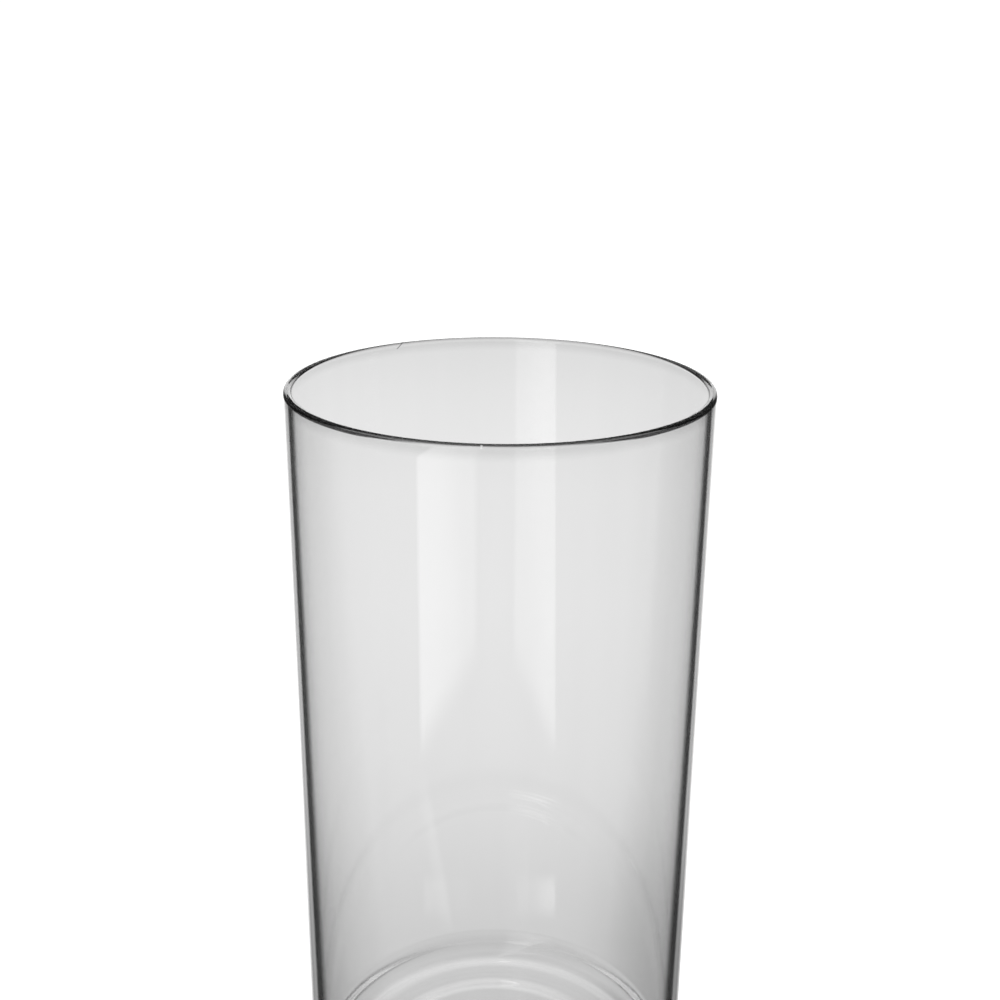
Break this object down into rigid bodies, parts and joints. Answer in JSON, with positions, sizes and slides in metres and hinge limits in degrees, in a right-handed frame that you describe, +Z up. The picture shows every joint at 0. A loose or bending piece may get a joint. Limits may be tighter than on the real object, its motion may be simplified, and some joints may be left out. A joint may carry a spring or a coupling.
{
  "type": "glass cylinder vase",
  "caption": "Straight-sided round vase in clear glass, open at the top, with a thin even wall, a rounded base and a fire-polished rim, for holding cut stems in water.",
  "frame": {"origin": "centre of the ring under the base that the vase stands on", "axes": "+Z up along the vase's axis, out of its open end; X and Y are alike, because the vase is round"},
  "size_m": [0.15, 0.15, 0.3],
  "materials": {
    "clear_glass_base": "clear, smooth and glossy, with a very faint neutral grey tint",
    "clear_glass_wall": "clear, smooth and glossy, with a very faint neutral grey tint"
  },
  "bodies": {
    "root": {"base": "clear_glass_base", "wall": "clear_glass_wall"}
  },
  "joints": []
}
